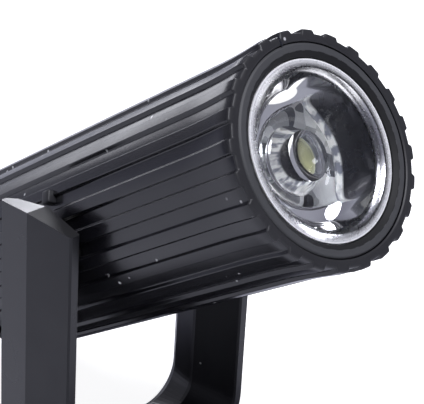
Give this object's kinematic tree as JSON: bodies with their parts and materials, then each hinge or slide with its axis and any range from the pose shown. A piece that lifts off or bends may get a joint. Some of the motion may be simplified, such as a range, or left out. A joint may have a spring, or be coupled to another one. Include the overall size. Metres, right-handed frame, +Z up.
{
  "type": "mini led spotlight",
  "caption": "Small black ribbed tube lamp with a flared front ring and a clear lens over one LED, tilting by friction in a U bracket with a flat screw-down foot.",
  "frame": {"origin": "middle of the flat underside of the bracket's foot", "axes": "+Z up from the foot towards the pivots, the lamp faces -Y and is tilted 34 degrees up at rest, +X along the pivot line to the right seen from the front"},
  "size_m": [0.056, 0.1119, 0.1154],
  "materials": {
    "black_plastic": "moulded, satin",
    "dark_plastic": "moulded, satin",
    "clear_acrylic": "polished acrylic",
    "clear_silicone": "clear silicone",
    "phosphor": "matt",
    "white_ceramic": "matt white",
    "gap_pad": "soft, matt",
    "bare_aluminium": "as extruded",
    "bright_steel": "zinc plated",
    "grey_rubber": "matt",
    "natural_plastic": "natural, matt",
    "green_board": "solder mask",
    "ferrite": "dull black",
    "yellow_tape": "wound tape",
    "black_sleeve": "shrink sleeve",
    "red_sleeve": "wire insulation"
  },
  "bodies": {
    "stand": {"bracket": "black_plastic"},
    "lamp": {"body_shell": "black_plastic", "rear_cap": "black_plastic", "bezel_ring": "dark_plastic", "lens_holder": "dark_plastic", "lens": "clear_acrylic", "led_dome": "clear_silicone", "led_phosphor": "phosphor", "led_package": "white_ceramic", "led_board": "white_ceramic", "thermal_pad": "gap_pad", "heat_sink": "bare_aluminium", "heat_sink_screw_a": "bright_steel", "heat_sink_screw_b": "bright_steel", "rear_cap_screw_a": "bright_steel", "rear_cap_screw_b": "bright_steel", "rear_cap_screw_c": "bright_steel", "pivot_pin_left": "bright_steel", "pivot_pin_right": "bright_steel", "lens_gasket": "grey_rubber", "cable_gland": "grey_rubber", "friction_washer_left": "natural_plastic", "friction_washer_right": "natural_plastic", "film_capacitor": "natural_plastic", "fuse_resistor": "natural_plastic", "driver_board": "green_board", "transformer_core": "ferrite", "bridge_rectifier": "ferrite", "driver_chip": "ferrite", "choke": "ferrite", "transformer_bobbin": "yellow_tape", "input_capacitor": "black_sleeve", "output_capacitor": "black_sleeve", "lead_black": "black_sleeve", "lead_red": "red_sleeve"}
  },
  "joints": [
    {"name": "lamp_tilt", "type": "hinge", "parent": "stand", "child": "lamp", "pos_m": [0, 0, 0.061], "axis": [1, 0, 0], "range_deg": [-56, 86]}
  ]
}
